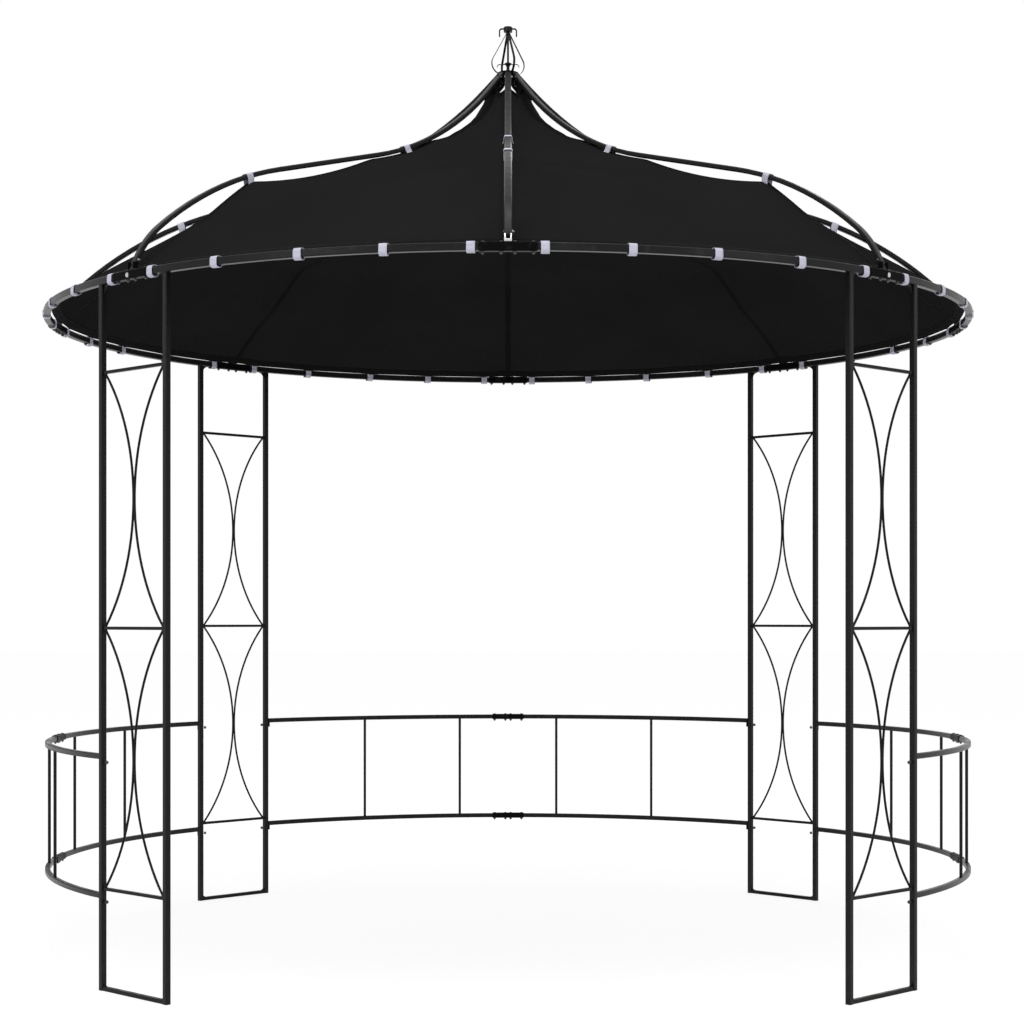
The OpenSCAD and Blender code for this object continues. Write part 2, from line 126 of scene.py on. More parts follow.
# the panels are flat across from this share of the ridge up, and round as the ring below it
flat_from = 1.6
hem_point = (ring_radius - ring_tube / 2 - 4 * MM, eave + 10.5 * MM)
flank_point = (hem_point[0] - 230 * MM, hem_point[1] + 174 * MM)
anchors = [
    hem_point,
    flank_point,
    under_rib(outer_strap_distance, outer_strap_drop),
    under_rib(outer_touch_distance, touch_drop),
    under_rib(inner_strap_distance, inner_strap_drop),
    under_rib(inner_touch_distance, touch_drop),
    (throat_distance, rib_at(throat_distance)[0] - throat_drop),
    crown_corner,
]
# how far each stretch of the ridge hangs below a straight line, from the hem up
sags = [-13 * MM, -4 * MM, 18.5 * MM, 2.5 * MM, 2.5 * MM, 12 * MM, 26 * MM]
last_share = len(sags)


def ridge_tables():
    """The ridge from the hem up: length along it, distance, height and share, sharp and eased."""
    t = np.linspace(0, 1, 60, endpoint=False)
    distance = np.concatenate([a[0] + t * (b[0] - a[0]) for a, b in zip(anchors, anchors[1:])])
    height = np.concatenate([
        a[1] + t * (b[1] - a[1]) - 4 * sag * t * (1 - t)
        for a, b, sag in zip(anchors, anchors[1:], sags)
    ])
    share = np.concatenate([k + t for k in range(last_share)])
    distance = np.append(distance, anchors[-1][0])
    height = np.append(height, anchors[-1][1])
    share = np.append(share, last_share)
    along = np.concatenate([[0], np.cumsum(np.hypot(np.diff(distance), np.diff(height)))])
    even = np.linspace(0, along[-1], 700)
    tables = [np.interp(even, along, values) for values in (distance, height, share)]
    close = [eased(even, table, 12 * MM) for table in tables[:2]] + tables[2:]
    return even, close, [eased(even, table, 70 * MM) for table in tables[:2]]


def eased(even, values, reach):
    """The values averaged over a reach, with both ends kept."""
    step = even[1] - even[0]
    n = int(3 * reach / step)
    weights = np.exp(-0.5 * (np.arange(-n, n + 1) * step / reach) ** 2)
    before = 2 * values[0] - values[n:0:-1]
    after = 2 * values[-1] - values[-2:-n - 2:-1]
    return np.convolve(np.concatenate([before, values, after]), weights / weights.sum(), "valid")


ridge_lengths, ridge_sharp, ridge_eased = ridge_tables()
ridge_length = ridge_lengths[-1]

# Straps: five to each eighth of the ring, closest together beside a joint over a bay
strap_off_sleeve = 7.5 * MM
first_strap_across = sleeve_length / 2 + strap_off_sleeve + strap_room / 2
first_strap = asin(first_strap_across / ring_radius)
strap_shares = (0, 0.235, 0.48, 0.75, 1)
over_bay = [first_strap + share * (SECTOR - 2 * first_strap) for share in strap_shares]
over_pillar = [SECTOR - angle for angle in reversed(over_bay)]
strap_angles = [
    k * SECTOR + angle for k in range(SIDES) for angle in (over_pillar if k % 2 else over_bay)
]


def between_straps(angle):
    """0 at a strap and 1 in the middle between two straps, round the hem."""
    stops = np.array([strap_angles[-1] - 2 * pi] + strap_angles + [strap_angles[0] + 2 * pi])
    angle = np.mod(angle, 2 * pi)
    place = np.interp(angle, stops, np.arange(len(stops)))
    share = place - np.floor(place)
    return 4 * share * (1 - share)


def from_strap(angle):
    """Distance round the hem to the nearest strap, with its sign."""
    stops = np.array([strap_angles[-1] - 2 * pi] + strap_angles + [strap_angles[0] + 2 * pi])
    angle = np.mod(np.asarray(angle, float), 2 * pi)
    gaps = angle[..., None] - stops
    nearest = np.argmin(np.abs(gaps), axis=-1)
    return np.take_along_axis(gaps, nearest[..., None], -1)[..., 0] * ring_radius


def cloth(angle, along):
    """Points of the canopy's upper face at angles round the axis and lengths up from the hem."""
    angle, along = np.broadcast_arrays(np.asarray(angle, float), np.asarray(along, float))
    distance, height, share = (np.interp(along, ridge_lengths, t) for t in ridge_sharp)
    soft_distance, soft_height = (np.interp(along, ridge_lengths, t) for t in ridge_eased)
    past = np.mod(angle, SECTOR)
    off_ridge = distance * np.minimum(past, SECTOR - past)
    ease = 1 - np.exp(-(off_ridge / ridge_reach) ** 2)
    distance = distance + ease * (soft_distance - distance)
    height = height + ease * (soft_height - height)
    across = 4 * past / SECTOR * (1 - past / SECTOR)
    chord = cos(SECTOR / 2) / np.cos(SECTOR / 2 - past)
    flat = np.minimum(1, share / flat_from)
    crowning = np.maximum(0, share - (last_share - 1))
    notch = 1 - np.abs(1 - 2 * past / SECTOR)
    fade = np.minimum(1, share) * (1 - crowning)
    distance = distance * (1 - flat + flat * chord) + crown_spread * crowning ** 1.5 * notch
    height = height - panel_sag * fade * across - crown_dip * crowning * notch
    hem = np.exp(-along / hem_reach)
    scallop = np.sqrt(between_straps(angle))
    distance = distance - scallop_depth * hem * scallop
    height = height + scallop_rise * hem * scallop
    height = height + ridge_lift * hem * np.exp(-(off_ridge / ridge_lift_reach) ** 2)
    x = from_strap(angle)
    folds = np.cos(2 * pi * x / fold_pitch) * np.exp(-(x / fold_spread) ** 2)
    folds = folds * np.exp(-along / fold_length) * np.minimum(1, along / fold_start)
    height = height + fold_height * folds
    return np.stack([distance * np.cos(angle), distance * np.sin(angle), height], -1)


def cloth_off(angle, along, lift, beyond=0.0):
    """Points off the canopy's upper face by a lift, and past its edge by a length."""
    d = 1 * MM
    angle, along = np.broadcast_arrays(np.asarray(angle, float), np.asarray(along, float))
    here = cloth(angle, along)
    up = cloth(angle, np.minimum(along + d, ridge_length)) - cloth(angle, np.maximum(along - d, 0))
    round_ = cloth(angle + 0.002, along) - cloth(angle - 0.002, along)
    normal = np.cross(round_, up)
    normal /= np.linalg.norm(normal, axis=-1, keepdims=True)
    up /= np.linalg.norm(up, axis=-1, keepdims=True)
    return here + normal * np.asarray(lift)[..., None] - up * np.asarray(beyond)[..., None]


# ---------------------------------------------------------------- finishes


class Value:
    """A shader socket that takes part in sums."""

    def __init__(self, finish, socket):
        self.finish = finish
        self.socket = socket

    def _math(self, operation, *values):
        return self.finish.math(operation, *values)

    def __add__(self, other):
        return self._math("ADD", self, other)

    def __sub__(self, other):
        return self._math("SUBTRACT", self, other)

    def __rsub__(self, other):
        return self._math("SUBTRACT", other, self)

    def __mul__(self, other):
        return self._math("MULTIPLY", self, other)

    def __abs__(self):
        return self._math("ABSOLUTE", self)

    __radd__ = __add__
    __rmul__ = __mul__


class Finish:
    """A finish: one material with a Principled surface, and the nodes that vary it."""

    def __init__(self, name, **fixed):
        self.material = bpy.data.materials.new(name)
        self.material.use_nodes = True
        self.tree = self.material.node_tree
        self.surface = self.tree.nodes["Principled BSDF"]
        for socket, value in fixed.items():
            self.surface.inputs[socket.replace("_", " ")].default_value = value

    def add(self, kind, settings=None, inputs=None, output=0):
        """A node with its settings made first, then the values or links of its sockets."""
        node = self.tree.nodes.new(kind)
        for key, value in (settings or {}).items():
            setattr(node, key, value)
        for key, value in (inputs or {}).items():
            self.join(value, node.inputs[key])
        return Value(self, node.outputs[output])

    def join(self, value, socket):
        if isinstance(value, Value):
            self.tree.links.new(value.socket, socket)
        else:
            socket.default_value = value

    def math(self, operation, *values):
        inputs = dict(enumerate(values))
        return self.add("ShaderNodeMath", {"operation": operation}, inputs)

    def most(self, a, b):
        return self.math("MAXIMUM", a, b)

    def split(self, vector):
        """The three numbers of a vector."""
        node = self.tree.nodes.new("ShaderNodeSeparateXYZ")
        self.join(vector, node.inputs[0])
        return [Value(self, socket) for socket in node.outputs]

    def place(self):
        return self.add("ShaderNodeTexCoord", output="Object")

    def lay(self):
        """Across and along the cloth, in metres, from the piece's own map."""
        return self.split(self.add("ShaderNodeUVMap", {"uv_map": "lay"}))

    def normal(self):
        return self.split(self.add("ShaderNodeNewGeometry", output="Normal"))

    def noise(self, scale, detail=2.0, where=None, stretch=None):
        where = where or self.place()
        if stretch:
            where = self.add("ShaderNodeMapping", inputs={"Vector": where, "Scale": stretch})
        inputs = {"Vector": where, "Scale": scale, "Detail": detail}
        return self.add("ShaderNodeTexNoise", inputs=inputs)

    def rise(self, value, low, high):
        """0 below low and 1 above high, with an eased step between."""
        settings = {"interpolation_type": "SMOOTHSTEP"}
        inputs = {"Value": value, "From Min": low, "From Max": high}
        return self.add("ShaderNodeMapRange", settings, inputs)

    def blend(self, factor, a, b):
        """A colour between two colours."""
        node = self.tree.nodes.new("ShaderNodeMix")
        node.data_type = "RGBA"
        self.join(factor, node.inputs["Factor"])
        for socket, color in (("A", a), ("B", b)):
            at = [s for s in node.inputs if s.name == socket and s.type == "RGBA"][0]
            self.join(color if isinstance(color, Value) else (*color, 1), at)
        return Value(self, [s for s in node.outputs if s.type == "RGBA"][0])

    def bump(self, height, strength, depth):
        inputs = {"Height": height, "Strength": strength, "Distance": depth}
        self.join(self.add("ShaderNodeBump", inputs=inputs), self.surface.inputs["Normal"])

    def color(self, value):
        self.join(value, self.surface.inputs["Base Color"])

    def roughness(self, value):
        self.join(value, self.surface.inputs["Roughness"])


def grey(level, blue=1.0):
    return (level, level, level * blue)


def coated_steel(name, dark, light, gloss, lower_edge_highlight_share):
    """Black powder coat: orange peel, painted highlight and wear on edges, more above, dust on top.
    """
    f = Finish(name, Specular_IOR_Level=gloss)
    nx, ny, nz = f.normal()
    tilt = abs(nz)
    # painted highlight with rubbed wear: rounded edges, the upper ones most, and upright corners,
    # in patches
    level_edge_wear_highlight = f.rise(tilt, 0.18, 0.45) * (1 - f.rise(tilt, 0.72, 0.95))
    level_edge_wear_highlight = level_edge_wear_highlight * (lower_edge_highlight_share + (1 - lower_edge_highlight_share) * f.rise(nz, 0.0, 0.2))
    upright_edge_wear_highlight = f.rise(f.most(abs(nx), abs(ny)), 0.84, 0.95) * (1 - f.rise(tilt, 0.05, 0.2))
    patches = f.rise(f.noise(38, 4), 0.5, 0.72)
    wear_and_highlight = f.most(level_edge_wear_highlight, upright_edge_wear_highlight * 0.6) * patches
    cloud = f.noise(2.3, 3)
    dust = f.rise(nz, 0.55, 0.95) * f.rise(f.noise(9, 5), 0.42, 0.75)
    _, _, height = f.split(f.place())
    splash = (1 - f.rise(height, 0.01, 0.16)) * f.rise(f.noise(24, 4), 0.4, 0.65)
    base = f.blend(cloud, grey(dark, 1.03), grey(light, 1.03))
    # painted highlight and wear: the edges are lightened towards grey
    base = f.blend(wear_and_highlight * 0.5, base, grey(0.04))
    base = f.blend(dust * 0.35, base, (0.060, 0.058, 0.053))
    f.color(f.blend(splash * 0.3, base, (0.050, 0.044, 0.036)))
    f.roughness(0.27 + cloud * 0.10 + dust * 0.25 + splash * 0.2 - wear_and_highlight * 0.04)
    peel = f.noise(520, 2) + f.noise(140, 2) * 0.6
    f.bump(peel, 0.22, 0.3 * MM)
    return f.material


def zinc_plate(name, bright, dulled):
    """Bright zinc on pressed plate: a faint spangle, dulled in places."""
    f = Finish(name, Metallic=1.0)
    spangle = f.add("ShaderNodeTexVoronoi", inputs={"Vector": f.place(), "Scale": 330}, output=1)
    red, _, _ = f.split(spangle)
    dull = f.rise(f.noise(60, 4), 0.45, 0.7)
    f.color(f.blend(dull * 0.6 + red * 0.2, grey(bright, 1.01), grey(dulled, 1.02)))
    f.roughness(0.26 + dull * 0.22 + red * 0.06)
    f.bump(f.noise(700, 3), 0.15, 0.1 * MM)
    return f.material


def dark_bolt_metal():
    """Blackened bolt metal, rubbed bright in small spots."""
    f = Finish("blackened_bolt", Metallic=0.85)
    rubbed = f.rise(f.noise(420, 3), 0.52, 0.7)
    f.color(f.blend(rubbed * 0.7, grey(0.07), grey(0.30)))
    f.roughness(0.36 + rubbed * 0.12)
    f.bump(f.noise(900, 2), 0.2, 0.1 * MM)
    return f.material


def weave(f, u, v, pitch):
    """Height of a plain weave: each thread goes over the next and then under it."""
    return f.math("SINE", u * (pi / pitch)) * f.math("SINE", v * (pi / pitch))


def canopy_cloth(name, dark, light, rough, slubs):
    """Close polyester cloth: plain weave, slubs along both threads, and slow changes of shade."""
    f = Finish(name, Specular_IOR_Level=0.0)
    u, v, _ = f.lay()
    at = f.add("ShaderNodeUVMap", {"uv_map": "lay"})
    along = f.noise(60, 3, at, (1, 18, 1))
    over = f.noise(60, 3, at, (18, 1, 1))
    cloud = f.noise(3.0, 4)
    threads = (along + over) * 0.5
    shade = f.rise(cloud * 0.55 + threads * 0.45, 0.3, 0.72)
    f.color(f.blend(shade, grey(dark, 1.03), grey(light, 1.03)))
    f.roughness(rough + 0.10 * shade)
    cross = weave(f, u, v, 0.55 * MM)
    f.bump(cross * 0.5 + threads * slubs, 0.5, 0.25 * MM)
    return f.material


def seam_cloth():
    """Doubled canopy cloth with a row of lockstitch along each edge."""
    f = Finish("stitched_seam", Specular_IOR_Level=0.02)
    u, v, _ = f.lay()
    row = 1 - f.rise(abs(abs(u) - 7.5 * MM), 0.25 * MM, 0.55 * MM)
    stitch = f.math("SINE", v * (2 * pi / (3.2 * MM)))
    thread = row * f.rise(stitch, -0.75, -0.3)
    cross = weave(f, u, v, 0.55 * MM)
    shade = f.noise(40, 3)
    base = f.blend(shade, grey(0.0064, 1.03), grey(0.0098, 1.03))
    f.color(f.blend(thread, base, grey(0.026)))
    f.roughness(0.8 - thread * 0.25)
    pull = f.rise(abs(abs(u) - 7.5 * MM), 0.0, 2.5 * MM)
    f.bump(cross * 0.3 + thread * 1.4 + pull * 1.6, 0.8, 0.3 * MM)
    return f.material


def white_webbing():
    """White woven tape: ribs across it, a tight edge, and a sewn box with a cross at one end."""
    f = Finish("white_webbing", Specular_IOR_Level=0.3, Sheen_Weight=0.08, Sheen_Roughness=0.4)
    u, v, _ = f.lay()
    rib = f.math("SINE", v * (2 * pi / (2.0 * MM)))
    warp = f.math("SINE", u * (2 * pi / (1.6 * MM)))
    half = webbing_width / 2
    edge = f.rise(abs(u), half - 2.0 * MM, half - 1.0 * MM)
    in_box = (1 - f.rise(abs(u), 9 * MM, 9.4 * MM)) * f.rise(v, 3.6 * MM, 4 * MM)
    in_box = in_box * (1 - f.rise(v, 22 * MM, 22.4 * MM))
    from_middle = v - 13 * MM
    side_row = 1 - f.rise(abs(abs(u) - 8.7 * MM), 0.3 * MM, 0.6 * MM)
    end_row = 1 - f.rise(abs(abs(from_middle) - 8.7 * MM), 0.3 * MM, 0.6 * MM)
    cross_row = 1 - f.rise(abs(abs(u) - abs(from_middle)), 0.4 * MM, 0.9 * MM)
    thread = f.most(f.most(side_row, end_row), cross_row) * in_box
    soil = f.rise(f.noise(30, 4), 0.45, 0.8)
    # painted shade: the grooves between the ribs are darkened to a grey-blue
    groove_shade = f.rise(0 - rib, 0.3, 1.0)
    base = f.blend(soil * 0.5, (0.66, 0.66, 0.78), (0.50, 0.50, 0.62))
    base = f.blend(groove_shade * 0.35, base, (0.40, 0.40, 0.52))
    f.color(f.blend(thread * 0.6, base, (0.76, 0.76, 0.84)))
    f.roughness(0.62 + soil * 0.15)
    f.bump(rib * 0.5 + warp * 0.25 + edge * 0.8 + thread * 1.6, 0.7, 0.3 * MM)
    return f.material


steel = coated_steel("black_powder_coat", 0.0062, 0.0098, 0.15, 0.3)
lattice_steel = coated_steel("lattice_powder_coat", 0.0030, 0.0050, 0.12, 0.3)
joint_steel = coated_steel("joint_black", 0.0042, 0.0062, 0.015, 0.0)
zinc = zinc_plate("zinc_plate", 0.56, 0.34)
old_zinc = zinc_plate("old_zinc", 0.40, 0.16)
bolt_metal = dark_bolt_metal()
outer_cloth = canopy_cloth("canopy_outside", 0.0145, 0.0172, 0.78, 0.6)
inner_cloth = canopy_cloth("canopy_coating", 0.0150, 0.0195, 0.70, 0.35)
seam = seam_cloth()
webbing = white_webbing()

for name, node in nodes.items():
    finish = steel
    if name.endswith("_lattice"):
        finish = lattice_steel
    if name == "hub" or name.endswith("_sleeves"):
        finish = joint_steel
    node.data.materials.clear()
    node.data.materials.append(finish)

# ---------------------------------------------------------------- cloth and webbing pieces


def piece_from(name, blocks, materials, closed=False):
    """One piece from blocks of rows of points, with a map in metres. A block is (points, map)."""
    verts = []
    faces = []
    maps = []
    for points, lay in blocks:
        rows, columns = points.shape[:2]
        start = len(verts)
        verts.extend(map(tuple, points.reshape(-1, 3)))
        for r in range(rows - 1):
            for c in range(columns if closed else columns - 1):
                d = (c + 1) % columns
                corners = ((r, c), (r, d), (r + 1, d), (r + 1, c))
                faces.append([start + i * columns + j for i, j in corners])
                wide = [c, c + 1, c + 1, c]
                maps.append([lay[i][w] for (i, _), w in zip(corners, wide)])
    mesh = bpy.data.meshes.new(name)
    mesh.from_pydata(verts, [], faces)
    layer = mesh.uv_layers.new(name="lay")
    flat = [value for face in maps for corner in face for value in corner]
    layer.data.foreach_set("uv", flat)
    for material in materials:
        mesh.materials.append(material)
    mesh.shade_smooth()
    piece = bpy.data.objects.new(name, mesh)
    bpy.context.collection.objects.link(piece)
    return piece


def thicken(piece, thickness, offset, inner_slot=0):
    """Gives a sheet its thickness; offset -1 goes down from its face and 1 goes up."""
    bpy.ops.object.select_all(action="DESELECT")
    piece.select_set(True)
    bpy.context.view_layer.objects.active = piece
    solid = piece.modifiers.new("thickness", "SOLIDIFY")
    solid.thickness = thickness
    solid.offset = offset
    solid.use_even_offset = True
    solid.material_offset = inner_slot
    bpy.ops.object.modifier_apply(modifier=solid.name)


def canopy_columns():
    """Angles of the canopy's threads round the axis, closer beside straps and ridges."""
    stops = set()
    for angle in strap_angles:
        for off in (0, 7, 14, 22, 32, 46):
            stops.update({angle + off * MM / ring_radius, angle - off * MM / ring_radius})
    for k in range(SIDES):
        stops.update(k * SECTOR + off * MM / ring_radius for off in (-26, -8, 0, 8, 26))
    stops = sorted({round(stop % (2 * pi), 5) for stop in stops})
    columns = []
    for a, b in zip(stops, stops[1:] + [stops[0] + 2 * pi]):
        parts = max(1, round((b - a) * ring_radius / (30 * MM)))
        columns.extend(a + (b - a) * i / parts for i in range(parts))
    return np.array(columns)


def canopy_rows():
    """Lengths up from the hem, closer at the hem, the straps and the crown."""
    stops = [0, 8 * MM, 18 * MM, 30 * MM]
    marks = [np.interp(k, ridge_sharp[2], ridge_lengths) for k in range(1, last_share + 1)]
    for mark in marks:
        stops.extend([mark - 24 * MM, mark - 10 * MM, mark, mark + 10 * MM, mark + 24 * MM])
    stops = [stop for stop in stops if 0 <= stop <= ridge_length] + [ridge_length]
    stops = sorted(set(np.round(stops, 5)))
    rows = []
    for a, b in zip(stops, stops[1:]):
        parts = max(1, round((b - a) / (36 * MM)))
        rows.extend(a + (b - a) * i / parts for i in range(parts))
    rows.append(ridge_length)
    return np.array(rows)


def gore_map(columns, rows):
    """Across each panel from its middle line and up it, in metres, as the panel was cut."""
    wide = np.append(columns, columns[0] + 2 * pi)
    middle = (np.floor(wide / SECTOR + 1e-6) + 0.5) * SECTOR
    across = np.sin(wide - middle)
    distance = np.interp(rows, ridge_lengths, ridge_sharp[0])
    return [[(d * a, row) for a in across] for d, row in zip(distance, rows)]


def make_canopy():
    columns = canopy_columns()
    rows = canopy_rows()
    points = cloth(columns[None, :], rows[:, None])
    lay = gore_map(columns, rows)
    canopy = piece_from("canopy_cloth", [(points, lay)], [outer_cloth, inner_cloth], closed=True)
    thicken(canopy, cloth_thickness, -1, 1)
    return canopy


def edge_strip(name, along, steps, width_map, material):
    """A band that follows the canopy's edge: steps are (length up, lift, length past the edge)."""
    columns = canopy_columns()
    base = np.array([step[0] for step in steps])[:, None]
    lift = np.array([step[1] for step in steps])[:, None]
    past = np.array([step[2] for step in steps])[:, None]
    shape = np.broadcast_shapes(columns[None, :].shape, base.shape)
    points = cloth_off(
        columns[None, :], along + base, np.broadcast_to(lift, shape), np.broadcast_to(past, shape)
    )
    radius = hypot(points[0, 0, 0], points[0, 0, 1])
    wide = np.append(columns, columns[0] + 2 * pi)
    lay = [[(u, angle * radius) for angle in wide] for u in width_map]
    return piece_from(name, [(points, lay)], [material], closed=True)


def make_hem():
    """The hem: the cloth's edge turned over and sewn down, 28 mm wide inside and out."""
    t = cloth_thickness
    steps = [
        (28 * MM, 0.1 * MM, 0), (27.4 * MM, 0.9 * MM, 0), (15 * MM, 0.9 * MM, 0),
        (3 * MM, 0.9 * MM, 0), (0, 0.7 * MM, 0.8 * MM), (0, -t / 2, 1.5 * MM),
        (0, -t - 0.7 * MM, 0.8 * MM), (3 * MM, -t - 0.9 * MM, 0), (15 * MM, -t - 0.9 * MM, 0),
        (27.4 * MM, -t - 0.9 * MM, 0), (28 * MM, -t - 0.1 * MM, 0),
    ]
    widths = [-13 * MM, -12.4 * MM, 0, 12 * MM, 14 * MM, 15 * MM, 14 * MM, 12 * MM, 0]
    widths += [-12.4 * MM, -13 * MM]
    # the lower edge's row of stitches is 7.5 mm from the strip's middle, as the seam finish draws
    return edge_strip("canopy_hem", 0, steps[::-1], widths[::-1], seam)


def make_crown_binding():
    """Tape folded over the edge of the opening at the crown."""
    t = cloth_thickness
    steps = [
        (-14 * MM, 0.1 * MM, 0), (-13.5 * MM, 1.0 * MM, 0), (-6 * MM, 1.0 * MM, 0),
        (0, 1.0 * MM, -0.2 * MM), (0, -t / 2, -1.4 * MM), (0, -t - 1.0 * MM, -0.2 * MM),
        (-6 * MM, -t - 1.0 * MM, 0), (-13.5 * MM, -t - 1.0 * MM, 0), (-14 * MM, -t - 0.1 * MM, 0),
    ]
    widths = [-12 * MM, -11 * MM, -7.5 * MM, 0, 1.4 * MM, 2.8 * MM, 7.5 * MM, 11 * MM, 12 * MM]
    return edge_strip("crown_binding", ridge_length, steps, widths, seam)


def make_ridge_seams():
    """A flat felled seam along each ridge outside, and a tape over it inside."""
    rows = canopy_rows()
    rows = rows[(rows > 29 * MM) & (rows < ridge_length - 14 * MM)]
    distance = np.interp(rows, ridge_lengths, ridge_sharp[0])
    t = cloth_thickness
    blocks = []
    outside = [(-10, 0.05), (-9.4, 0.8), (-5, 1.0), (0, 1.15), (5, 1.0), (9.4, 0.8), (10, 0.05)]
    inside = [(11, -0.05), (10.4, -0.7), (0, -0.9), (-10.4, -0.7), (-11, -0.05)]
    for section, base in ((outside, 0), (inside, -t)):
        widths = np.array([w for w, _ in section]) * MM
        lifts = np.array([lift for _, lift in section]) * MM + base
        for k in range(SIDES):
            angles = k * SECTOR + widths[None, :] / distance[:, None]
            along = np.broadcast_to(rows[:, None], angles.shape)
            points = cloth_off(angles, along, np.broadcast_to(lifts, angles.shape))
            lay = [[(w, row) for w in widths] for row in rows]
            blocks.append((points, lay))
    return piece_from("ridge_seams", blocks, [seam])


def make_crown_tabs():
    """Dark webbing tabs from the canopy's crown corners up to the hub, held under its middle."""
    blocks = []
    count = 22
    half = 8.5 * MM
    lift = 2.2 * MM
    below = hub_bottom - 0.9 * MM
    inner_end = 6 * MM
    taper = 22 * MM
    sides = (-1, -0.4, 0.4, 1)
    sewn = np.array([ridge_length - 26 * MM, ridge_length - 3 * MM])
    corner = cloth_off(0, sewn, np.full(2, lift))
    path = [
        (corner[0][0], corner[0][2]),
        (corner[1][0], corner[1][2]),
        (31 * MM, below - 9 * MM),
        (20 * MM, below - 1.2 * MM),
        (13 * MM, below),
        (inner_end, below),
    ]
    line, even = curve_through(path, count)
    wide = half * np.clip((line[:, 0] - inner_end) / taper, 0.2, 1)
    points = np.stack([np.stack([line[:, 0], side * wide, line[:, 1]], 1) for side in sides], 1)
    lay = [[(side * half, v) for side in sides] for v in even]
    for k in range(SIDES):
        turn = np.array(Matrix.Rotation(k * SECTOR, 3, "Z"))
        blocks.append((points @ turn.T, lay))
    tabs = piece_from("crown_tabs", blocks, [seam])
    thicken(tabs, tab_webbing_thickness, 0)
    return tabs


def curve_through(points, count):
    """Even points on a smooth curve through the given ones."""
    p = np.array([points[0], *points, points[-1]], float)
    fine = []
    for i in range(1, len(p) - 2):
        t = np.linspace(0, 1, 12, endpoint=False)[:, None]
        a = 2 * p[i]
        b = (p[i + 1] - p[i - 1]) * t
        c = (2 * p[i - 1] - 5 * p[i] + 4 * p[i + 1] - p[i + 2]) * t ** 2
        d = (3 * p[i] - p[i - 1] - 3 * p[i + 1] + p[i + 2]) * t ** 3
        fine.append((a + b + c + d) / 2)
    fine = np.concatenate([*fine, p[-1:]])
    along = np.concatenate([[0], np.cumsum(np.linalg.norm(np.diff(fine, axis=0), axis=1))])
    even = np.linspace(0, along[-1], count)
    return np.stack([np.interp(even, along, fine[:, k]) for k in range(fine.shape[1])], 1), even


def make_ring_straps():
    """Forty straps: each comes out of the hem, goes round the ring and back into the hem."""
    rng = np.random.default_rng(5)
    blocks = []
    near = ring_tube / 2
    layer = webbing_thickness / 2 + 0.1 * MM
    count = 46
    widths = np.array([-1, -0.55, 0, 0.55, 1]) * webbing_width / 2
    for angle in strap_angles:
        slack = rng.uniform(0, 1.2) * MM
        hang = rng.uniform(2.6, 4.8) * MM
        skew = rng.uniform(-0.03, 0.03)
        ends = cloth_off(
            angle,
            np.zeros(4),
            np.array([layer, layer, -layer, -layer]) - cloth_thickness / 2,
            np.array([2.4, 5, 5, 2.4]) * MM,
        )
        top_end, top_rise, _, low_end = [
            (hypot(p[0], p[1]) - ring_radius, p[2] - eave) for p in ends
        ]
        path = [
            top_end,
            (top_rise[0] + 0.4 * MM, near + 1.5 * MM + slack * 0.5),
            (-near + 3.5 * MM, near + 2.6 * MM + slack),
            (1 * MM, near + 3.0 * MM + slack),
            (near - 2.5 * MM, near + 1.9 * MM + slack * 0.6),
            (near + 1.7 * MM, near - 3 * MM),
            (near + 2.1 * MM, 0),
            (near + 1.9 * MM, -near + 2.5 * MM - hang * 0.5),
            (near - 3 * MM, -near - 1.6 * MM - hang * 0.8),
            (0, -near - 2.1 * MM - hang),
            (-near + 3 * MM, -near - 1.7 * MM - hang * 0.7),
            (-near - 1.5 * MM, -near + 2.5 * MM - hang * 0.3),
            (-near - 1.7 * MM, 0),
            (-near - 2.0 * MM, near - 4 * MM),
            low_end,
        ]
        bowed, even = curve_through(path, count)
        columns = []
        for w in widths:
            curl = 0.35 * MM * (abs(w) / (webbing_width / 2)) ** 3
            around = angle + (w + skew * (even - even[-1] / 2) * 0.4) / ring_radius
            radius = ring_radius + bowed[:, 0] * (1 - curl / near)
            across = [radius * np.cos(around), radius * np.sin(around), eave + bowed[:, 1]]
            columns.append(np.stack(across, 1))
        points = np.stack(columns, 1)
        blocks.append((points, [[(w, v) for w in widths] for v in even]))
    straps = piece_from("ring_straps", blocks, [webbing])
    thicken(straps, webbing_thickness, 0)
    return straps


def make_rib_straps():
    """Sixteen straps: each over a rib and down both sides to the ridge, where it is sewn."""
    blocks = []
    count = 40
    spans = np.array([-1, -0.5, 0, 0.5, 1]) * webbing_width / 2
    for distance, flare in ((outer_strap_distance, 10.5 * MM), (inner_strap_distance, 16 * MM)):
        height, slope, depth = rib_at(distance)
        knot = np.interp(distance, ridge_sharp[0][::-1], ridge_lengths[::-1])
        along_rib = np.array([cos(slope), 0, -sin(slope)])
        up = np.array([sin(slope), 0, cos(slope)])
        side = np.array([0, 1, 0])
        middle = np.array([distance, 0, height])
        half = rib_width / 2 + 1.0 * MM
        over = depth / 2 + 1.3 * MM
        columns = []
        for span in spans:
            radius = np.interp(knot - span, ridge_lengths, ridge_sharp[0])
            feet = cloth_off(np.array([-1, 1]) * flare / radius, knot - span, np.full(2, 0.9 * MM))
            across = [
                (-max(half, (half + flare) / 2) - 0.2 * MM, -over),
                (-half - 0.3 * MM, over - 4 * MM),
                (-half + 2.5 * MM, over),
                (0, over + 0.5 * MM),
                (half - 2.5 * MM, over),
                (half + 0.3 * MM, over - 4 * MM),
                (max(half, (half + flare) / 2) + 0.2 * MM, -over),
            ]
            path = [middle + along_rib * span + side * y + up * n for y, n in across]
            columns.append(curve_through([feet[0], *path, feet[1]], count))
        points = np.stack([column for column, _ in columns], 1)
        lay = [[(s, even[i]) for s, (_, even) in zip(spans, columns)] for i in range(count)]
        for k in range(SIDES):
            turn = np.array(Matrix.Rotation(k * SECTOR, 3, "Z"))
            blocks.append((points @ turn.T, lay))
    straps = piece_from("rib_straps", blocks, [webbing])
    thicken(straps, webbing_thickness, 0)
    return straps


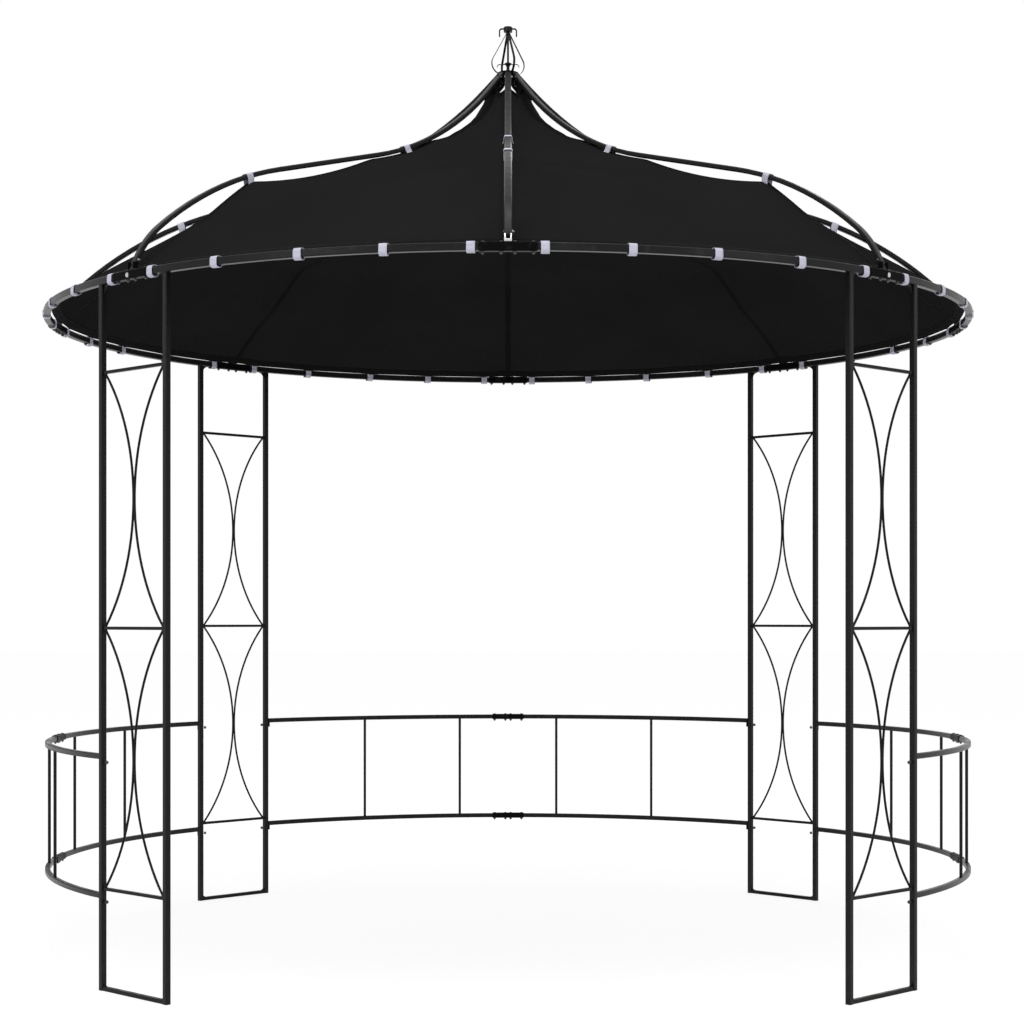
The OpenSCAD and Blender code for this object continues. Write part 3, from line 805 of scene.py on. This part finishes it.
canopy = make_canopy()
hem = make_hem()
binding = make_crown_binding()
seams = make_ridge_seams()
tabs = make_crown_tabs()
ring_straps = make_ring_straps()
rib_straps = make_rib_straps()
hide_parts("canopy")
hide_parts("canopy_straps")
for piece in (canopy, hem, binding, seams, tabs, ring_straps, rib_straps):
    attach(piece, "root")

# Eight gores, each as long as the ridge: the area of their outer face, beside unused bounds from
# the ridge's length
canopy_area = sum(polygon.area for polygon in canopy.data.polygons if polygon.material_index == 0)
2 * ridge_length
2 * ridge_length
min(canopy_area, 3.99 * ridge_length ** 2)

# ---------------------------------------------------------------- fixings


def open_mesh(piece, kind):
    """Goes into edit mode on one piece, with nothing picked."""
    bpy.ops.object.select_all(action="DESELECT")
    piece.select_set(True)
    bpy.context.view_layer.objects.active = piece
    bpy.ops.object.mode_set(mode="EDIT")
    bpy.ops.mesh.select_mode(type=kind)
    bpy.ops.mesh.select_all(action="DESELECT")
    return bmesh.from_edit_mesh(piece.data)


def blank(sides, radius, low, high):
    """An upright round or many-sided blank between two heights."""
    bpy.ops.object.select_all(action="DESELECT")
    middle = (0, 0, (low + high) / 2)
    bpy.ops.mesh.primitive_cylinder_add(
        vertices=sides, radius=radius, depth=high - low, location=middle
    )
    bpy.ops.object.transform_apply()
    return bpy.context.object


def round_rim(piece, height, width, segments=1):
    """Takes off the sharp rim of a blank at one height."""
    mesh = open_mesh(piece, "EDGE")
    for edge in mesh.edges:
        edge.select_set(all(abs(vert.co.z - height) < 0.01 * MM for vert in edge.verts))
    bmesh.update_edit_mesh(piece.data)
    bpy.ops.mesh.bevel(offset=width, segments=segments, affect="EDGES")
    bpy.ops.object.mode_set(mode="OBJECT")


def joined(pieces, name, material):
    """Several shapes made into one piece with outward normals and smooth round faces."""
    bpy.ops.object.select_all(action="DESELECT")
    for piece in pieces:
        piece.select_set(True)
    bpy.context.view_layer.objects.active = pieces[0]
    if len(pieces) > 1:
        bpy.ops.object.join()
    piece = bpy.context.object
    piece.name = name
    piece.data.name = name
    piece.data.materials.clear()
    piece.data.materials.append(material)
    bpy.ops.object.mode_set(mode="EDIT")
    bpy.ops.mesh.select_all(action="SELECT")
    bpy.ops.mesh.normals_make_consistent(inside=False)
    bpy.ops.object.mode_set(mode="OBJECT")
    bpy.ops.object.shade_smooth_by_angle(angle=radians(36))
    return piece


def bolt(thread, grip, domed, shown=("head", "nut")):
    """A bolt through a grip about the origin: its head above, its washer, nut and end below."""
    face = grip / 2 + 0.05 * MM
    plate = 1.0 * MM
    parts = []
    if "head" in shown and domed:
        head = blank(16, thread * 0.95, face, face + thread * 0.52)
        round_rim(head, face + thread * 0.52, thread * 0.42, 4)
        parts.append(head)
    elif "head" in shown:
        head = blank(6, thread * 0.96, face, face + thread * 0.62)
        round_rim(head, face + thread * 0.62, thread * 0.1)
        parts.append(head)
    if "nut" in shown:
        washer = blank(18, thread * 1.08, -face - plate, -face)
        round_rim(washer, -face - plate, 0.25 * MM)
        low = -face - plate - thread * 0.8
        nut = blank(6, thread * 0.96, low, -face - plate)
        round_rim(nut, low, thread * 0.1)
        end = blank(12, thread * 0.5, low - thread * 0.4, low + 1 * MM)
        round_rim(end, low - thread * 0.4, thread * 0.12)
        parts += [washer, nut, end]
    return joined(parts, "bolt", bolt_metal)


def placed(pattern, name, places, material):
    """Copies of a pattern at its places, each moved in its mesh, joined as one piece."""
    copies = []
    for place in places:
        copy = pattern.copy()
        copy.data = pattern.data.copy()
        copy.data.transform(place)
        bpy.context.collection.objects.link(copy)
        copies.append(copy)
    bpy.data.objects.remove(pattern)
    piece = joined(copies, name, material)
    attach(piece, "root")
    return piece


def turned(angle, radius, across, height):
    """A place at an angle round the axis, then out, along the tangent and up."""
    turn = Matrix.Rotation(angle, 4, "Z")
    return turn @ Matrix.Translation((radius, across, height))


def middle_of(name):
    low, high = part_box(name)
    return (Vector(low) + Vector(high)) / 2


def rib_face(height):
    """Distance from the axis of a rib's outer and inner faces at a height near its foot."""
    outer = rib_surface.ray_cast(Vector((2, 0, height)), Vector((-1, 0, 0)))[0].x
    inner = rib_surface.ray_cast(Vector((1, 0, height)), Vector((1, 0, 0)))[0].x
    return outer, inner


rail_tube = 16 * MM
rail_sleeve_tube = 20.6 * MM
rail_radius = ring_radius - 2.5 * MM
post_tube = 17 * MM
tab_thickness = 3 * MM
posts_apart = middle_of("back_right_post_outer") - middle_of("back_right_post_inner")
post_across = posts_apart.length / 2
post_out = (ring_radius ** 2 - post_across ** 2) ** 0.5
TANGENT = Matrix.Rotation(pi / 2, 4, "X")
bays = {"right": 0, "back": pi / 2, "left": pi}


def make_ring_sleeve_bolts():
    places = []
    for k in range(SIDES):
        for across in (-66, -17.6, 17.6, 66):
            angle = k * SECTOR + across * MM / ring_radius
            places.append(turned(angle, ring_radius, 0, eave))
    return placed(bolt(5 * MM, sleeve_tube, True), "ring_sleeve_bolts", places, bolt_metal)


def make_rail_bolts():
    """Bolts through the sleeves in the middle of the rails and through the tabs at the posts."""
    sleeve_places = []
    tab_places = []
    near_face = post_across - post_tube / 2
    far_face = post_across + post_tube / 2 + 0.3 * MM + tab_thickness
    for bay, turn in bays.items():
        for rail in ("top", "bottom"):
            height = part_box(f"{bay}_{rail}_rail")[1][2] - rail_tube / 2
            for across in (-54, -10.5, 10.5, 54):
                angle = turn + across * MM / rail_radius
                sleeve_places.append(turned(angle, rail_radius, 0, height))
            for side in (-1, 1):
                place = turned(
                    turn + side * pi / 4, post_out - 2 * MM, -side * (near_face + far_face) / 2,
                    height - rail_tube
                )
                tab_places.append(place @ Matrix.Rotation(side * pi / 2, 4, "X"))
    sleeve_bolt = bolt(5 * MM, rail_sleeve_tube, True)
    placed(sleeve_bolt, "rail_sleeve_bolts", sleeve_places, bolt_metal)
    tab_bolt = bolt(5 * MM, far_face - near_face, True)
    placed(tab_bolt, "rail_tab_bolts", tab_places, bolt_metal)


def make_rib_bolts():
    """A bolt across each rib above its foot with a zinc nut, and one where it meets the hub."""
    foot_height = eave + 42 * MM
    foot_out = sum(rib_face(foot_height)) / 2
    hub_out = 44 * MM
    hub_height = rib_at(hub_out)[0] + 1 * MM
    foot_places = [turned(k * SECTOR, foot_out, 0, foot_height) @ TANGENT for k in range(SIDES)]
    hub_places = [turned(k * SECTOR, hub_out, 0, hub_height) @ TANGENT for k in range(SIDES)]
    placed(bolt(4 * MM, rib_width, True, ("head",)), "rib_foot_bolts", foot_places, bolt_metal)
    placed(bolt(4 * MM, rib_width, True, ("nut",)), "rib_foot_nuts", foot_places, old_zinc)
    placed(bolt(3.5 * MM, rib_width, True), "bay_hub_bolts", hub_places[::2], old_zinc)
    placed(bolt(3.5 * MM, rib_width, True), "pillar_hub_bolts", hub_places[1::2], bolt_metal)
    # a hexagon head on the ring's outer face in the middle of each pillar's joint
    joint = turned(0, ring_radius, 0, eave - 2.5 * MM) @ Matrix.Rotation(pi / 2, 4, "Y")
    joints = [Matrix.Rotation(k * SECTOR, 4, "Z") @ joint for k in range(1, SIDES, 2)]
    placed(bolt(7.5 * MM, sleeve_tube, False, ("head",)), "pillar_joint_bolts", joints, zinc)


def make_foot_clips():
    """A forked zinc plate at the foot of each bay's middle rib; a black block in its fork is
    painted shade.
    """
    low, high = sleeve_high_face + 0.5 * MM, sleeve_high_face + 22.5 * MM
    arm = 4.4 * MM
    bar = 8 * MM
    plate = 2.4 * MM
    wide = rib_width - 0.4 * MM
    bpy.ops.object.select_all(action="DESELECT")
    bpy.ops.mesh.primitive_cube_add(size=1, location=(0, 0, bar / 2), scale=(plate, wide, bar))
    bpy.ops.object.transform_apply()
    clip = bpy.context.object
    for across in (-wide / 2 + arm, wide / 2 - arm):
        open_mesh(clip, "FACE")
        bpy.ops.mesh.select_all(action="SELECT")
        bpy.ops.mesh.bisect(plane_co=(0, across, 0), plane_no=(0, 1, 0))
        bpy.ops.object.mode_set(mode="OBJECT")
    mesh = open_mesh(clip, "FACE")
    for face in mesh.faces:
        middle = face.calc_center_median()
        face.select_set(face.normal.z > 0.9 and abs(middle.y) > wide / 2 - arm)
    bmesh.update_edit_mesh(clip.data)
    rise = Vector((0, 0, (high - low) / sin(foot_lean) - bar))
    bpy.ops.mesh.extrude_region_move(TRANSFORM_OT_translate={"value": rise})
    bpy.ops.mesh.select_mode(type="EDGE")
    bpy.ops.mesh.select_all(action="DESELECT")
    mesh = bmesh.from_edit_mesh(clip.data)
    for edge in mesh.edges:
        edge.select_set(edge.calc_face_angle(0) > 0.5)
    bmesh.update_edit_mesh(clip.data)
    bpy.ops.mesh.bevel(offset=0.6 * MM, segments=2, affect="EDGES")
    bpy.ops.object.mode_set(mode="OBJECT")
    outer = rib_face(low + 4 * MM)[0]
    lean = Matrix.Rotation(foot_lean - pi / 2, 4, "Y")
    stand = Matrix.Translation((0, 0, low)) @ lean
    lift = (plate / 2 + 0.15 * MM) / sin(foot_lean)
    start = outer + 4 * MM / tan(foot_lean) + lift
    places = [turned(k * SECTOR, start, 0, 0) @ stand for k in range(0, SIDES, 2)]
    placed(joined([clip], "clip", zinc), "rib_foot_clips", places, zinc)
    # painted shade: a thin black block fills the fork, where the hollow behind it is dark
    bpy.ops.object.select_all(action="DESELECT")
    tall = (high - low) / sin(foot_lean) - bar - 1 * MM
    inside = wide - 2 * arm - 0.3 * MM
    bpy.ops.mesh.primitive_cube_add(
        size=1, location=(-0.6 * MM, 0, bar + 0.2 * MM + tall / 2), scale=(1.0 * MM, inside, tall)
    )
    bpy.ops.object.transform_apply()
    shade_pad = bpy.context.object
    open_mesh(shade_pad, "EDGE")
    bpy.ops.mesh.select_all(action="SELECT")
    bpy.ops.mesh.bevel(offset=0.3 * MM, segments=2, affect="EDGES")
    bpy.ops.object.mode_set(mode="OBJECT")
    placed(joined([shade_pad], "shade_pad", joint_steel), "rib_foot_shade_pads", places, joint_steel)


sleeve_high_face = eave + sleeve_tube / 2
foot_rise = 12 * MM
foot_run = rib_face(sleeve_high_face + 4 * MM)[0] - rib_face(sleeve_high_face + 16 * MM)[0]
foot_lean = atan2(foot_rise, foot_run)
make_ring_sleeve_bolts()
make_rail_bolts()
make_rib_bolts()
make_foot_clips()

# ---------------------------------------------------------------- camera, floor and light


def make_camera():
    data = bpy.data.cameras.new("camera")
    data.lens = 72.54
    data.shift_x = 0.0039
    data.shift_y = 0.1046
    camera = bpy.data.objects.new("camera", data)
    camera.location = (0, -6.818, 1.0576)
    camera.rotation_euler = (pi / 2, 0, 0)
    bpy.context.collection.objects.link(camera)
    bpy.context.scene.camera = camera


def seen_by_camera(tree):
    """1 for camera, glossy and transmission rays, which see the white backdrop."""
    path = tree.nodes.new("ShaderNodeLightPath")
    most = path.outputs["Is Camera Ray"]
    for name in ("Is Glossy Ray", "Is Transmission Ray"):
        node = tree.nodes.new("ShaderNodeMath")
        node.operation = "MAXIMUM"
        tree.links.new(most, node.inputs[0])
        tree.links.new(path.outputs[name], node.inputs[1])
        most = node.outputs[0]
    return most


def make_world():
    world = bpy.data.worlds.new("studio")
    bpy.context.scene.world = world
    world.use_nodes = True
    tree = world.node_tree
    soft = tree.nodes["Background"]
    soft.inputs[0].default_value = (1, 1, 1, 1)
    soft.inputs[1].default_value = 0.6
    white = tree.nodes.new("ShaderNodeBackground")
    white.inputs[0].default_value = (1, 1, 1, 1)
    white.inputs[1].default_value = 1.0
    mix = tree.nodes.new("ShaderNodeMixShader")
    tree.links.new(seen_by_camera(tree), mix.inputs[0])
    tree.links.new(soft.outputs[0], mix.inputs[1])
    tree.links.new(white.outputs[0], mix.inputs[2])
    tree.links.new(mix.outputs[0], tree.nodes["World Output"].inputs[0])


def make_floor():
    """A pale floor that looks white to the camera and keeps a soft shadow."""
    bpy.ops.object.select_all(action="DESELECT")
    bpy.ops.mesh.primitive_plane_add(size=120, location=(0, 0, -0.5 * MM))
    floor = bpy.context.object
    floor.name = "studio_floor"
    material = bpy.data.materials.new("floor_paint")
    material.use_nodes = True
    tree = material.node_tree
    paint = tree.nodes["Principled BSDF"]
    paint.inputs["Base Color"].default_value = (0.86, 0.86, 0.86, 1)
    paint.inputs["Roughness"].default_value = 0.9
    paint.inputs["Specular IOR Level"].default_value = 0.0
    glow = tree.nodes.new("ShaderNodeEmission")
    glow.inputs[0].default_value = (1, 1, 1, 1)
    glow.inputs[1].default_value = 1.28
    factor = tree.nodes.new("ShaderNodeMath")
    factor.operation = "MULTIPLY"
    tree.links.new(seen_by_camera(tree), factor.inputs[0])
    factor.inputs[1].default_value = 0.62
    mix = tree.nodes.new("ShaderNodeMixShader")
    tree.links.new(factor.outputs[0], mix.inputs[0])
    tree.links.new(paint.outputs[0], mix.inputs[1])
    tree.links.new(glow.outputs[0], mix.inputs[2])
    tree.links.new(mix.outputs[0], tree.nodes["Material Output"].inputs[0])
    floor.data.materials.append(material)


def make_lamp(name, place, aim, size, power):
    data = bpy.data.lights.new(name, "AREA")
    data.shape = "DISK"
    data.size = size
    data.energy = power
    lamp = bpy.data.objects.new(name, data)
    lamp.location = place
    lamp.rotation_euler = (Vector(aim) - Vector(place)).to_track_quat("-Z", "Y").to_euler()
    bpy.context.collection.objects.link(lamp)


make_camera()
make_world()
make_floor()
make_lamp("left_softbox", (-5.5, -6.0, 5.0), (0, 0, 1.6), 3.0, 110)
make_lamp("right_softbox", (6.0, -5.0, 4.0), (0, 0, 1.4), 3.0, 35)
make_lamp("high_softbox", (0.3, -3.2, 8.2), (0, -0.6, 2.2), 4.0, 170)
make_lamp("back_softbox", (2.5, 7.0, 5.0), (0, 0, 1.8), 3.0, 60)

bpy.context.scene.view_settings.view_transform = "Standard"
